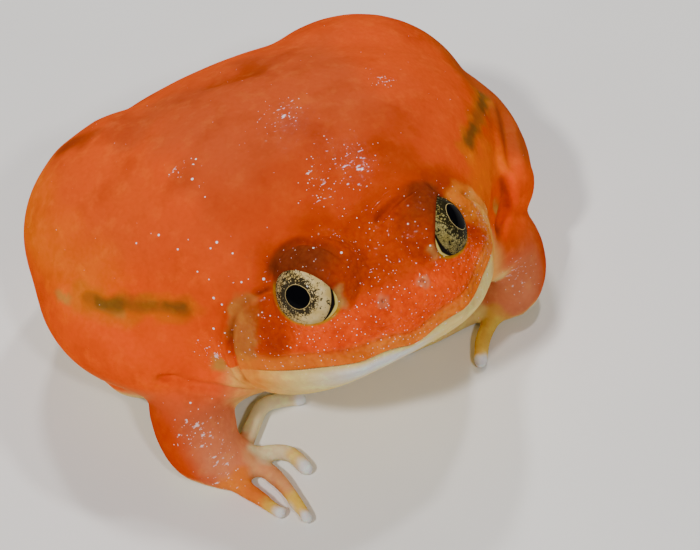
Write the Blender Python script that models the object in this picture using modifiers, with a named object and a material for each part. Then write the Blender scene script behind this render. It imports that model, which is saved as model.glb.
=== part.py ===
"""Tomato frog, life size, as a still museum model: an inflated female crouching on the floor.

The frog faces -Y, its left side is +X and the floor is Z = 0. Every size below is in millimetres.
Soft forms are lofts and ellipsoids that are fused by a voxel remesh, parted by thin cuts and thinned.
"""

import math

import bmesh
import bpy
from mathutils import Matrix, Vector

MM = 0.001
GAP = 0.3
SIDES = (("right", -1), ("left", 1))

# Driving sizes of the animal.
LIP_HEIGHT = 23.3
MOUTH_DROP = 0.43
NECK_Y = 14.2
EYE_RADIUS = 5.4
EYE_PLACE = (7.9, 8.8, 29.2)
EYE_OUT = 59.0
EYE_UP = 27.0
EYE_WINDOW = (4.95, 4.3)
LID_THICK = 0.8
NOSTRIL_PLACE = (2.9, 1.1, 29.0)
NOSTRIL_RADIUS = 0.55
LIP_RADIUS = 0.8

# Trunk sections from the snout to the rump: y, half width, top, bottom.
TRUNK = (
    (-0.3, 2.5, 26.0, 21.8),
    (0.3, 6.0, 28.2, 21.3),
    (1.3, 9.0, 29.6, 19.6),
    (2.8, 11.4, 30.6, 17.2),
    (5.0, 14.0, 31.5, 14.5),
    (8.0, 16.5, 32.5, 12.0),
    (11.5, 18.6, 34.3, 9.8),
    (15.0, 20.8, 35.8, 8.0),
    (19.0, 24.2, 37.0, 5.0),
    (24.0, 28.4, 38.0, 2.0),
    (30.0, 31.8, 38.6, -0.6),
    (36.5, 33.2, 38.2, -1.4),
    (43.0, 32.8, 36.1, -1.4),
    (49.5, 30.6, 32.9, -0.8),
    (55.5, 25.4, 28.8, 1.0),
    (60.5, 17.8, 22.6, 4.0),
    (64.0, 9.0, 16.6, 7.6),
    (65.3, 3.2, 13.4, 10.4),
)
# The body bends a little to the frog's right behind this row, by this much at the rump.
BEND_FROM = 14.0
BEND_BY = 1.6
HAUNCH = ((16.2, 41.6, 18.9), (17.8, 16.8, 15.8))
BROW = ((7.3, 8.8, 29.8), (6.2, 5.6, 5.9))

# Limbs of the left side, as spots along each: x, y, z, half width, half thickness.
THIGH = (
    (10.0, 45.6, 17.5, 6.0, 6.0),
    (17.4, 44.4, 17.6, 8.2, 8.0),
    (24.2, 40.4, 17.2, 9.6, 9.2),
    (27.2, 33.6, 16.6, 9.0, 8.9),
    (27.6, 27.0, 16.4, 7.2, 7.2),
    (27.2, 22.4, 16.6, 5.2, 5.6),
)
SHANK = (
    (25.4, 26.5, 10.4, 4.4, 4.6),
    (26.2, 30.5, 8.2, 5.2, 5.2),
    (25.4, 36.0, 6.6, 5.4, 5.2),
    (23.2, 43.0, 5.6, 4.6, 4.4),
    (21.4, 50.0, 4.8, 3.6, 3.6),
)
TARSUS = (
    (17.4, 57.9, 2.9, 3.2, 2.9),
    (19.6, 53.6, 2.4, 3.0, 2.6),
    (21.2, 49.4, 2.0, 3.0, 2.4),
    (22.2, 45.6, 1.7, 3.3, 2.2),
)
TOES = (
    ((20.2, 46.0), (18.2, 42.4), (17.2, 39.8)),
    ((21.0, 45.2), (19.6, 40.2), (18.8, 36.6)),
    ((22.2, 45.0), (21.4, 38.8), (20.6, 33.8)),
    ((23.4, 45.4), (23.6, 39.8), (23.0, 35.8)),
    ((24.2, 46.2), (25.8, 42.4), (26.2, 39.6)),
)
UPPER_ARM = {
    "right": ((-14.0, 18.0, 14.0, 5.6, 6.4), (-18.0, 19.4, 13.4, 5.8, 6.4), (-21.9, 19.9, 11.3, 5.5, 6.0),
              (-24.3, 19.6, 8.6, 5.4, 5.6)),
    "left": ((13.0, 17.0, 13.6, 5.4, 6.2), (18.4, 18.0, 12.8, 5.6, 6.0), (23.6, 18.6, 10.8, 5.2, 5.4),
             (25.4, 18.4, 8.4, 4.8, 5.0)),
}
FOREARM = {
    "right": ((-24.5, 19.6, 8.2, 5.4, 5.6), (-25.2, 17.0, 6.2, 5.3, 5.1), (-25.1, 14.6, 4.4, 5.1, 4.1),
              (-24.4, 13.0, 3.0, 4.5, 2.9)),
    "left": ((25.6, 18.4, 8.0, 4.8, 5.0), (25.2, 16.8, 5.8, 4.6, 4.3), (24.2, 15.6, 4.0, 4.2, 3.5),
             (22.8, 15.0, 2.7, 3.8, 2.7)),
}
PALM = {
    "right": ((-24.2, 13.4, 2.7, 4.2, 2.5), (-23.0, 11.6, 2.0, 4.2, 2.0), (-22.2, 10.4, 1.6, 3.3, 1.6)),
    "left": ((23.4, 15.6, 2.5, 3.6, 2.3), (21.4, 15.8, 1.9, 3.7, 1.9), (20.2, 15.8, 1.5, 3.0, 1.5)),
}
FINGERS = {
    "right": (
        ((-21.6, 13.0), (-18.0, 16.2), (-14.8, 18.8), (-12.2, 18.4), (-9.8, 17.2)),
        ((-21.4, 12.0), (-19.0, 11.5), (-15.8, 9.6), (-15.1, 6.2)),
        ((-21.4, 11.4), (-19.9, 9.4), (-19.1, 5.8), (-18.95, 1.4), (-19.05, -0.9)),
        ((-24.6, 11.4), (-23.5, 7.6), (-22.4, 4.3), (-21.5, 1.8)),
    ),
    "left": (
        ((22.0, 17.6), (19.4, 21.0), (16.4, 23.4), (13.6, 24.4)),
        ((20.8, 17.0), (17.2, 19.2), (13.0, 20.2), (9.4, 20.2)),
        ((20.4, 15.8), (16.4, 15.9), (12.2, 15.9), (7.0, 16.5)),
        ((22.0, 15.2), (19.0, 13.4), (16.2, 11.2), (14.0, 8.4)),
    ),
}
# Where each arm is parted: a point and the direction towards the hand.
ELBOW = {
    "right": ((-24.1, 20.0, 8.5), (-0.25, -0.5, -0.83)),
    "left": ((26.2, 18.5, 8.1), (0.15, -0.45, -0.88)),
}
WRIST = {
    "right": ((-24.8, 13.8, 3.9), (0.45, -0.5, -0.74)),
    "left": ((23.4, 15.2, 3.4), (-0.75, -0.15, -0.64)),
}
FINGER_RADIUS = 1.1
TOE_RADIUS = 1.2

# Colours of the nodes.
ORANGE = (0.80, 0.23, 0.06, 1.0)
CREAM = (0.83, 0.72, 0.50, 1.0)
GOLD = (0.62, 0.55, 0.32, 1.0)

def clear_scene():
    """Removes the objects of the start-up scene."""
    for obj in list(bpy.data.objects):
        bpy.data.objects.remove(obj, do_unlink=True)


def collection(name):
    """A new collection linked to the scene."""
    made = bpy.data.collections.new(name)
    bpy.context.scene.collection.children.link(made)
    return made


def new_object(name, bm):
    """An object that holds the mesh of bm, with its faces pointing out."""
    bmesh.ops.recalc_face_normals(bm, faces=bm.faces)
    mesh = bpy.data.meshes.new(name)
    bm.to_mesh(mesh)
    bm.free()
    obj = bpy.data.objects.new(name, mesh)
    PARTS.objects.link(obj)
    return obj


def ellipsoid(name, centre, radii, turn=(0, 0, 0), segments=40):
    """A solid ellipsoid; turn holds degrees about X, Y and Z."""
    angles = [math.radians(a) for a in turn]
    place = (
        Matrix.Translation(Vector(centre) * MM)
        @ Matrix.Rotation(angles[2], 4, "Z")
        @ Matrix.Rotation(angles[1], 4, "Y")
        @ Matrix.Rotation(angles[0], 4, "X")
        @ Matrix.Diagonal((radii[0] * MM, radii[1] * MM, radii[2] * MM, 1.0))
    )
    bm = bmesh.new()
    bmesh.ops.create_uvsphere(
        bm, u_segments=segments, v_segments=segments // 2, radius=1.0, matrix=place
    )
    return new_object(name, bm)


def loft(name, rings):
    """A closed skin through rings of points, with a fan at each end."""
    bm = bmesh.new()
    rows = [[bm.verts.new(p * MM) for p in ring] for ring in rings]
    count = len(rows[0])
    for first, second in zip(rows, rows[1:]):
        for i in range(count):
            j = (i + 1) % count
            bm.faces.new((first[i], first[j], second[j], second[i]))
    for row in (rows[0], rows[-1]):
        middle = bm.verts.new(sum((v.co for v in row), Vector()) / count)
        for i in range(count):
            bm.faces.new((row[i], row[(i + 1) % count], middle))
    return new_object(name, bm)


def between(values, t):
    """Catmull-Rom reading of a list of tuples at t, from 0 to 1."""
    last = len(values) - 1
    place = min(max(t, 0.0), 1.0) * last
    i = min(int(place), last - 1)
    u = place - i
    p0, p1 = values[max(i - 1, 0)], values[i]
    p2, p3 = values[i + 1], values[min(i + 2, last)]
    return tuple(
        0.5 * (2 * b + (c - a) * u + (2 * a - 5 * b + 4 * c - d) * u**2 + (3 * b - a - 3 * c + d) * u**3)
        for a, b, c, d in zip(p0, p1, p2, p3)
    )


def superellipse(angle, power):
    """Unit superellipse point at an angle; power 2 is a circle and more is squarer."""
    c, s = math.cos(angle), math.sin(angle)
    return (
        math.copysign(abs(c) ** (2 / power), c),
        math.copysign(abs(s) ** (2 / power), s),
    )


def bent(x, y):
    """x of a point of the rear body after the body's slight bend."""
    return x - BEND_BY * (max(y - BEND_FROM, 0.0) / 45.0) ** 1.5


def trunk_loft(name, steps=56, around=56, power=2.2, under_power=2.6):
    """The trunk from snout to rump, whose sections have their widest line below the middle."""
    rings = []
    for step in range(steps + 1):
        y, half, top, bottom = between(TRUNK, step / steps)
        middle = bottom + 0.45 * (top - bottom)
        ring = []
        for i in range(around):
            under = i > around / 2
            squarer = under_power + 0.9 * min(max((18.0 - y) / 8.0, 0.0), 1.0)
            c, s = superellipse(2 * math.pi * i / around, squarer if under else power)
            reach = middle - bottom if under else top - middle
            ring.append(Vector((bent(half * c, y), y, middle + reach * s)))
        rings.append(ring)
    return loft(name, rings)


def limb(name, spots, steps=24, around=20, lay=(0, 0, 1)):
    """A tapered tube with round ends. A spot is x, y, z, half width and half thickness."""
    rings = []
    centres = [Vector(between(spots, i / steps)[:3]) for i in range(steps + 1)]
    for i in range(steps + 1):
        half, thick = between(spots, i / steps)[3:5]
        ahead = (centres[min(i + 1, steps)] - centres[max(i - 1, 0)]).normalized()
        across = ahead.cross(Vector(lay)).normalized()
        above = across.cross(ahead).normalized()
        end = {0: -1, steps: 1}.get(i, 0)
        rows = ((0.0, 1.0),)
        if end:
            rows = tuple((math.sin(a), math.cos(a)) for a in (0.0, 0.5, 0.95, 1.3))
        made = []
        for out, share in rows:
            centre = centres[i] + ahead * end * out * min(half, thick)
            made.append(
                [
                    centre
                    + across * (half * share * math.cos(2 * math.pi * k / around))
                    + above * (thick * share * math.sin(2 * math.pi * k / around))
                    for k in range(around)
                ]
            )
        rings += made[::-1] if end < 0 else made
    return loft(name, rings)


def evaluated_copy(obj, name):
    """A new plain mesh object holding obj with its modifiers applied; obj is removed."""
    graph = bpy.context.evaluated_depsgraph_get()
    mesh = bpy.data.meshes.new_from_object(obj.evaluated_get(graph))
    mesh.name = name
    bpy.data.objects.remove(obj, do_unlink=True)
    made = bpy.data.objects.new(name, mesh)
    PARTS.objects.link(made)
    return made


def join(name, pieces):
    """One object that holds all the pieces' meshes."""
    bm = bmesh.new()
    for piece in pieces:
        bm.from_mesh(piece.data)
        bpy.data.objects.remove(piece, do_unlink=True)
    return new_object(name, bm)


def fuse(name, pieces, voxel, smooth, strength=0.5):
    """The pieces as one soft closed form: a voxel remesh and then a smoothing."""
    joined = join(name + "_raw", pieces)
    remesh = joined.modifiers.new("fuse", "REMESH")
    remesh.mode = "VOXEL"
    remesh.voxel_size = voxel * MM
    relax = joined.modifiers.new("relax", "SMOOTH")
    relax.factor = strength
    relax.iterations = smooth
    return evaluated_copy(joined, name)


def thin_out(obj, triangles):
    """Collapses obj to about that many triangles."""
    obj.data.calc_loop_triangles()
    modifier = obj.modifiers.new("thin", "DECIMATE")
    modifier.ratio = min(1.0, triangles / len(obj.data.loop_triangles))
    modifier.use_collapse_triangulate = True
    return evaluated_copy(obj, obj.name)


def keep_largest(obj):
    """Drops every loose scrap of obj but the closed surface with the largest volume."""
    bm = bmesh.new()
    bm.from_mesh(obj.data)
    left = set(bm.verts)
    groups = []
    while left:
        todo = [left.pop()]
        group = set(todo)
        while todo:
            for edge in todo.pop().link_edges:
                for vert in edge.verts:
                    if vert in left:
                        left.remove(vert)
                        group.add(vert)
                        todo.append(vert)
        groups.append(group)
    if len(groups) > 1:
        biggest = max(groups, key=len)
        scraps = [v for g in groups if g is not biggest for v in g]
        bmesh.ops.delete(bm, geom=scraps, context="VERTS")
        bm.to_mesh(obj.data)
    bm.free()


def part_by_plane(obj, point, normal):
    """Cuts away what lies in front of the plane, along normal, and closes the cut."""
    bm = bmesh.new()
    bm.from_mesh(obj.data)
    cut = bmesh.ops.bisect_plane(
        bm,
        geom=bm.verts[:] + bm.edges[:] + bm.faces[:],
        dist=1e-7,
        plane_co=Vector(point) * MM,
        plane_no=Vector(normal),
        clear_outer=True,
    )
    rim = [e for e in cut["geom_cut"] if isinstance(e, bmesh.types.BMEdge) and e.is_valid and e.is_boundary]
    bmesh.ops.triangle_fill(bm, edges=rim, use_beauty=True, normal=Vector(normal))
    bmesh.ops.recalc_face_normals(bm, faces=bm.faces)
    bm.to_mesh(obj.data)
    bm.free()
    return obj


def copy_of(obj, name):
    """A copy of obj with its own mesh."""
    made = bpy.data.objects.new(name, obj.data.copy())
    PARTS.objects.link(made)
    return made


def swollen(obj, by=GAP):
    """A copy of obj grown by a distance along its normals, to cut room for it."""
    made = copy_of(obj, obj.name + "_room")
    bm = bmesh.new()
    bm.from_mesh(made.data)
    bm.normal_update()
    moves = [v.normal * by * MM for v in bm.verts]
    for vert, move in zip(bm.verts, moves):
        vert.co += move
    bm.to_mesh(made.data)
    bm.free()
    return made


def volume_of(obj):
    """The volume that obj's mesh encloses, in cubic millimetres."""
    bm = bmesh.new()
    bm.from_mesh(obj.data)
    volume = bm.calc_volume(signed=True)
    bm.free()
    return volume / MM**3


def cut_once(obj, cutter, solver):
    """A copy of obj with the cutter taken out by one solver."""
    made = copy_of(obj, obj.name + "_cut")
    modifier = made.modifiers.new("cut", "BOOLEAN")
    modifier.operation = "DIFFERENCE"
    modifier.solver = solver
    modifier.object = cutter
    made = evaluated_copy(made, made.name)
    keep_largest(made)
    return made


def cut_away(obj, cutters):
    """Takes each cutter out of obj in turn and removes the cutters and the old obj."""
    name = obj.name
    for cutter in cutters:
        before = volume_of(obj)
        made = cut_once(obj, cutter, "EXACT")
        if not 0.3 * before < volume_of(made) < 1.001 * before:
            bpy.data.objects.remove(made, do_unlink=True)
            made = cut_once(obj, cutter, "MANIFOLD")
        bpy.data.objects.remove(obj, do_unlink=True)
        bpy.data.objects.remove(cutter, do_unlink=True)
        obj = made
    obj.name = name
    return obj


def eye_axis(side):
    """The direction in which the eye on that side looks."""
    out, up = math.radians(EYE_OUT), math.radians(EYE_UP)
    return Vector((side * math.sin(out) * math.cos(up), -math.cos(out) * math.cos(up), math.sin(up)))


def mirrored(point, side):
    """A point of the left side, carried over to that side."""
    return (point[0] * side, point[1], point[2])


def mouth_plane():
    """A point on the line of the mouth and the upward normal of its plane."""
    normal = Vector((0, MOUTH_DROP, 1)).normalized()
    return Vector((0, 0, LIP_HEIGHT)), normal


def digit(name, path, radius, rise=0.0):
    """A finger or toe along points on the floor, with a rounded pad at its tip."""
    reach = len(path) - 1
    spots = []
    for i, (x, y) in enumerate(path):
        thick = radius * (1.12 - 0.2 * i / reach)
        lift = rise * math.sin(math.pi * i / reach)
        spots.append((x, y, thick * 0.86 + lift, thick, thick))
    x, y = path[-1]
    stem = limb(name, spots, steps=12, around=12)
    pad = ellipsoid(name + "_pad", (x, y, radius * 0.86), (radius,) * 3, segments=14)
    return [stem, pad]


def lip_path(lift):
    """Spots of a lip, from one corner of the mouth around the snout to the other."""
    mouth, up = mouth_plane()
    half = []
    for y in (0.6, 1.3, 2.6, 4.6, 7.2, 10.2, 13.2):
        rows = [between(TRUNK, i / 400) for i in range(401)]
        row = min(rows, key=lambda r: abs(r[0] - y))
        z = mouth.z - MOUTH_DROP * y
        middle = row[3] + 0.45 * (row[2] - row[3])
        reach = (row[2] - middle) if z > middle else (middle - row[3])
        part = min(abs(z - middle) / reach, 1.0)
        power = 2.2 if z > middle else 3.5
        x = row[1] * (1.0 - part**power) ** (1 / power)
        half.append((x - 0.45, y, z + lift, LIP_RADIUS, LIP_RADIUS))
    start = (0.0, 0.35, mouth.z + lift, LIP_RADIUS, LIP_RADIUS)
    return [flipped_spot(s, -1) for s in half[::-1]] + [start] + half


def build_trunk():
    """The whole of head and torso as one soft form."""
    pieces = [trunk_loft("trunk_form")]
    for name, side in SIDES:
        x, y, z = mirrored(HAUNCH[0], side)
        pieces.append(ellipsoid(f"haunch_{name}", (bent(x, y), y, z), HAUNCH[1]))
        pieces.append(ellipsoid(f"brow_{name}", mirrored(BROW[0], side), BROW[1]))
        pieces.append(ellipsoid(f"lid_{name}", mirrored(EYE_PLACE, side), (EYE_RADIUS + LID_THICK,) * 3))
    for number, lift in enumerate((1.0, -1.0)):
        pieces.append(limb(f"lip_{number}", lip_path(lift), steps=60, around=10))
    return fuse("trunk", pieces, voxel=0.5, smooth=8)


def build_head(trunk):
    """The skull part with lids and nostrils, and the lower jaw, parted at the mouth and neck."""
    mouth, up = mouth_plane()
    head = copy_of(trunk, "head")
    part_by_plane(head, (0, NECK_Y - GAP / 2, 0), (0, 1, 0))
    jaw = copy_of(head, "lower_jaw")
    part_by_plane(head, mouth + up * GAP / 2, -up)
    part_by_plane(jaw, mouth - up * GAP / 2, up)
    head = thin_out(head, 1700)
    jaw = thin_out(jaw, 500)
    cutters = []
    for name, side in SIDES:
        centre = Vector(mirrored(EYE_PLACE, side))
        axis = eye_axis(side)
        cutters.append(ellipsoid(f"socket_{name}", centre, (EYE_RADIUS + GAP,) * 3, segments=20))
        window = ellipsoid(f"window_{name}", (0, 0, 0), (1000, 1000, 1000), segments=24)
        spin = axis.to_track_quat("Z", "Y").to_matrix().to_4x4()
        stretch = Matrix.Diagonal((EYE_WINDOW[0] * MM, EYE_WINDOW[1] * MM, EYE_RADIUS * 1.9 * MM, 1.0))
        window.data.transform(Matrix.Translation(centre * MM) @ spin @ stretch)
        cutters.append(window)
        pit = ellipsoid(f"pit_{name}", mirrored(NOSTRIL_PLACE, side), (NOSTRIL_RADIUS,) * 3, segments=12)
        cutters.append(pit)
    head = cut_away(head, cutters)
    return head, jaw


def build_eye(name, side):
    """One eyeball."""
    return ellipsoid(f"eye_{name}", mirrored(EYE_PLACE, side), (EYE_RADIUS,) * 3, segments=20)


def flipped_spot(spot, side):
    """One spot of the left side carried over to that side."""
    return (spot[0] * side,) + tuple(spot[1:])


def flipped(spots, side):
    """Leg spots of the left side carried over to that side of the bent body."""
    return [(bent(spot[0] * side, spot[1]),) + tuple(spot[1:]) for spot in spots]


def build_leg(name, side):
    """Thigh, shank and foot of one folded hind leg, each still whole."""
    thigh = fuse(f"thigh_{name}", [limb("thigh_form", flipped(THIGH, side))], 0.6, 6)
    shank = fuse(f"shank_{name}", [limb("shank_form", flipped(SHANK, side))], 0.5, 4)
    pieces = [limb("tarsus_form", flipped(TARSUS, side), steps=14)]
    for number, path in enumerate(TOES):
        pieces += digit(f"toe_{number}", flipped(path, side), TOE_RADIUS)
    foot = fuse(f"foot_{name}", pieces, 0.32, 4)
    part_by_plane(foot, (0, 0, 0), (0, 0, -1))
    return thin_out(thigh, 340), thin_out(shank, 260), thin_out(foot, 800)


def build_arm(name):
    """One whole arm with its hand as a single soft form."""
    pieces = [
        limb("upper_form", UPPER_ARM[name], steps=16),
        limb("fore_form", FOREARM[name], steps=16),
        limb("palm_form", PALM[name], steps=10),
    ]
    for number, path in enumerate(FINGERS[name]):
        pieces += digit(f"finger_{number}", path, FINGER_RADIUS, 0.4)
    arm = fuse(f"arm_{name}", pieces, 0.32, 5)
    part_by_plane(arm, (0, 0, 0), (0, 0, -1))
    return thin_out(arm, 1400)


def split(obj, first, second, point, toward):
    """Parts obj by a thin cut into two named nodes and removes obj."""
    toward = Vector(toward).normalized()
    near = copy_of(obj, first)
    far = copy_of(obj, second)
    part_by_plane(near, Vector(point) - toward * GAP / 2, toward)
    part_by_plane(far, Vector(point) + toward * GAP / 2, -toward)
    bpy.data.objects.remove(obj, do_unlink=True)
    for piece in (near, far):
        keep_largest(piece)
    return near, far


def paint(obj, name, colour, roughness):
    """Gives obj its own plain material."""
    material = bpy.data.materials.new(name)
    material.use_nodes = True
    shader = material.node_tree.nodes["Principled BSDF"]
    shader.inputs["Base Color"].default_value = colour
    shader.inputs["Roughness"].default_value = roughness
    obj.data.materials.clear()
    obj.data.materials.append(material)


def centre_on_floor():
    """Shifts every node so that the bottom centre of the whole box is the origin."""
    corners = [v.co for obj in PARTS.objects for v in obj.data.vertices]
    low = Vector([min(c[i] for c in corners) for i in range(3)])
    high = Vector([max(c[i] for c in corners) for i in range(3)])
    shift = Matrix.Translation(-Vector(((low.x + high.x) / 2, (low.y + high.y) / 2, low.z)))
    for obj in PARTS.objects:
        obj.data.transform(shift)


def main():
    """Builds every node."""
    trunk = build_trunk()
    head, jaw = build_head(trunk)
    torso = copy_of(trunk, "torso")
    part_by_plane(torso, (0, NECK_Y + GAP / 2, 0), (0, -1, 0))
    part_by_plane(torso, (0, 0, 0), (0, 0, -1))
    torso = thin_out(torso, 1500)
    bpy.data.objects.remove(trunk, do_unlink=True)
    for name, side in SIDES:
        build_eye(name, side)
        arm = build_arm(name)
        thigh, shank, foot = build_leg(name, side)
        torso = cut_away(torso, [swollen(limb_part) for limb_part in (arm, foot, shank, thigh)])
        jaw = cut_away(jaw, [swollen(arm)])
        head = cut_away(head, [swollen(arm)])
        thigh = cut_away(thigh, [swollen(limb_part) for limb_part in (arm, foot, shank)])
        shank = cut_away(shank, [swollen(limb_part) for limb_part in (arm, foot)])
        foot = cut_away(foot, [swollen(arm)])
        upper, rest = split(arm, f"upper_arm_{name}", "rest", *ELBOW[name])
        split(rest, f"forearm_{name}", f"hand_{name}", *WRIST[name])
    centre_on_floor()
    for obj in PARTS.objects:
        if obj.name.startswith("eye"):
            paint(obj, obj.name + "_gold", GOLD, 0.15)
        elif obj.name == "lower_jaw":
            paint(obj, "cream_throat", CREAM, 0.35)
        else:
            paint(obj, obj.name + "_orange", ORANGE, 0.35)


clear_scene()
PARTS = collection("tomato_frog")
main()
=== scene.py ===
"""A crouching tomato frog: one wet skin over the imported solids, two eyes, floor, light and camera.

Sizes are in millimetres in the frog's own frame, whose zero is the floor under the lips: the snout
points along -Y, the frog's left side is +X. Row.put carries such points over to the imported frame.
Colours are linear light. A span runs from where a thing is absent to where it is full.
"""

import logging
import math
from dataclasses import dataclass
from enum import Enum
from typing import Sequence

import bmesh
import bpy
import numpy as np
from mathutils import Matrix, Vector


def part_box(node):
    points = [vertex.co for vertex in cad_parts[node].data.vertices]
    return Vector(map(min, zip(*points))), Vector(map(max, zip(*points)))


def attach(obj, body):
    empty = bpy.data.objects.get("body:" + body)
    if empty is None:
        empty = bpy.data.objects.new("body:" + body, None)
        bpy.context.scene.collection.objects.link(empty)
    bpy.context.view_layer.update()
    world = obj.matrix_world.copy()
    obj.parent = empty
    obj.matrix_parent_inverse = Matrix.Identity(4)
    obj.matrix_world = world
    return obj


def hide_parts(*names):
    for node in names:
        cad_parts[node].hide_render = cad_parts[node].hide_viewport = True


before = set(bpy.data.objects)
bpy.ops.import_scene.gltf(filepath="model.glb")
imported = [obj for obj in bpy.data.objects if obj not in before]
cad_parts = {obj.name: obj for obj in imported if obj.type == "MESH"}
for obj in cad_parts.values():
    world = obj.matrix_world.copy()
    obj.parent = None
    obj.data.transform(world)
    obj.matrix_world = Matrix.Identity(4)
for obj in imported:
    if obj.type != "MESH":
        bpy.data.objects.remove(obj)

MM = 0.001
TINY = 1e-6
LOG = logging.getLogger("frog")
Array = np.ndarray
Object = bpy.types.Object
Node = bpy.types.Node
Socket = bpy.types.NodeSocket
Point = tuple[float, float, float]
Span = tuple[float, float]


class Side(Enum):
    """The two sides of the frog, with the sign of their X."""

    RIGHT = -1
    LEFT = 1


class Row:
    """Carries points between the frog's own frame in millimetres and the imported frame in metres."""

    between_eyes: Point = (0.0, 8.8, 29.2)
    eyes: Array = np.mean([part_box("eye_left"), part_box("eye_right")], axis=(0, 1)) / MM
    shift: Array = eyes - between_eyes

    @classmethod
    def put(cls, points: Array) -> Array:
        """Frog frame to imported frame."""
        return (np.asarray(points, float) + cls.shift) * MM

    @classmethod
    def take(cls, points: Array) -> Array:
        """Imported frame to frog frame."""
        return np.asarray(points, float) / MM - cls.shift


def ramp(low: float, high: float, value: Array) -> Array:
    """A smooth step from 0 at low to 1 at high."""
    t = np.clip((np.asarray(value, float) - low) / (high - low), 0.0, 1.0)
    return t * t * (3.0 - 2.0 * t)


def bell(value: Array, width: float) -> Array:
    """A Gauss bell of that half width."""
    return np.exp(-((value / width) ** 2))


def span_to(where: Array, place: Sequence[float]) -> Array:
    """The distance of each point from one place."""
    return np.linalg.norm(where - np.asarray(place), axis=1)


def wander(where: Array, size: float, seed: int, waves: int = 7) -> Array:
    """A smooth random value of about -1 to 1 at each place, changing over that many millimetres."""
    rng = np.random.default_rng(seed)
    total = np.zeros(len(where))
    for _ in range(waves):
        way = rng.normal(size=3)
        way *= rng.uniform(0.7, 1.6) * 2.0 * math.pi / size / np.linalg.norm(way)
        total += np.sin(where @ way + rng.uniform(0.0, 2.0 * math.pi))
    return total / 3.0


def choose(objects: Sequence[Object]) -> None:
    """Selects just these objects in object mode and makes the first active."""
    if bpy.context.object and bpy.context.object.mode != "OBJECT":
        bpy.ops.object.mode_set(mode="OBJECT")
    bpy.ops.object.select_all(action="DESELECT")
    for obj in objects:
        obj.select_set(True)
    if objects:
        bpy.context.view_layer.objects.active = objects[0]


def finish_modifier(obj: Object, kind: str, **settings: object) -> None:
    """Adds a modifier of that kind, sets its values by name and applies it."""
    choose([obj])
    modifier = obj.modifiers.new(kind.lower(), kind)
    for name, value in settings.items():
        setattr(modifier, name, value)
    bpy.ops.object.modifier_apply(modifier=modifier.name)


def sphere(centre: Array, radius: float, segments: int, rings: int) -> Object:
    """A ball in the frog's frame, with its place applied."""
    choose([])
    bpy.ops.mesh.primitive_uv_sphere_add(
        segments=segments, ring_count=rings, radius=radius * MM, location=Row.put(centre)
    )
    bpy.ops.object.transform_apply(location=True, rotation=True, scale=True)
    return bpy.context.object


def points_of(obj: Object) -> Array:
    """The vertices of obj in the frog's frame."""
    flat = np.empty(len(obj.data.vertices) * 3, np.float32)
    obj.data.vertices.foreach_get("co", flat)
    return Row.take(flat.reshape(-1, 3))


def move_to(obj: Object, points: Array) -> None:
    """Sets the vertices of obj from points in the frog's frame."""
    obj.data.vertices.foreach_set("co", Row.put(points).astype(np.float32).ravel())
    obj.data.update()


def normals_of(obj: Object) -> Array:
    """The vertex normals of obj."""
    flat = np.empty(len(obj.data.vertices) * 3, np.float32)
    obj.data.vertex_normals.foreach_get("vector", flat)
    return flat.reshape(-1, 3).astype(float)


def write_attribute(obj: Object, name: str, values: Array) -> None:
    """Stores one number or one colour for each vertex under a name that a material reads."""
    kind, part = ("FLOAT", "value") if values.ndim == 1 else ("FLOAT_COLOR", "color")
    if values.ndim == 2:
        values = np.insert(values, 3, 1.0, axis=1)
    layer = obj.data.attributes.new(name, kind, "POINT")
    layer.data.foreach_set(part, values.astype(np.float32).ravel())


@dataclass(frozen=True)
class Path3:
    """A line of points in the frog's frame, optionally with its mirror image."""

    points: tuple[Point, ...]
    mirrored: bool = False

    def reach(self, where: Array) -> tuple[Array, Array]:
        """How far each place is from the line.

        Args:
            where: places in the frog's frame.

        Returns:
            The distance to the line, and the share of the line's length at the nearest point.
        """
        lines = [np.array(self.points, float)]
        if self.mirrored:
            lines.append(lines[0] * (-1, 1, 1))
        best, share = np.full(len(where), np.inf), np.zeros(len(where))
        for line in lines:
            steps = np.diff(line, axis=0)
            lengths = np.linalg.norm(steps, axis=1)
            starts = np.concatenate(([0.0], np.cumsum(lengths)))
            for start, step, length, passed in zip(line, steps, lengths, starts):
                t = np.clip((where - start) @ step / max(length, TINY) ** 2, 0.0, 1.0)
                gap = np.linalg.norm(where - start - t[:, None] * step, axis=1)
                closer = gap < best
                best = np.where(closer, gap, best)
                share = np.where(closer, (passed + t * length) / max(starts[-1], TINY), share)
        return best, share


@dataclass(frozen=True)
class Fold:
    """A groove of the skin along a line, with a bank on either side and painted shadow in it, fading out at its
    ends.
    """

    line: Path3
    width: float
    depth: float
    banks: float
    shade: float
    taper: float = 0.18
    bank_place: float = 2.1
    shadow_width: float = 0.9

    def _near(self, where: Array) -> tuple[Array, Array]:
        """The distance of each place to the line, and how far the fold has faded in there."""
        gap, share = self.line.reach(where)
        return gap, ramp(0.0, self.taper, share) * ramp(1.0, 1.0 - self.taper, share)

    def height(self, where: Array) -> Array:
        """How far the fold moves each place along its normal, in millimetres."""
        gap, fade = self._near(where)
        middle = -self.depth * bell(gap, self.width)
        banks = self.banks * self.depth * bell(gap - self.bank_place * self.width, self.width)
        return (middle + banks) * fade

    def shadow(self, where: Array) -> Array:
        """How strongly the fold's painted shadow darkens each place."""
        gap, fade = self._near(where)
        return self.shade * bell(gap, self.shadow_width * self.width) * fade


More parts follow.
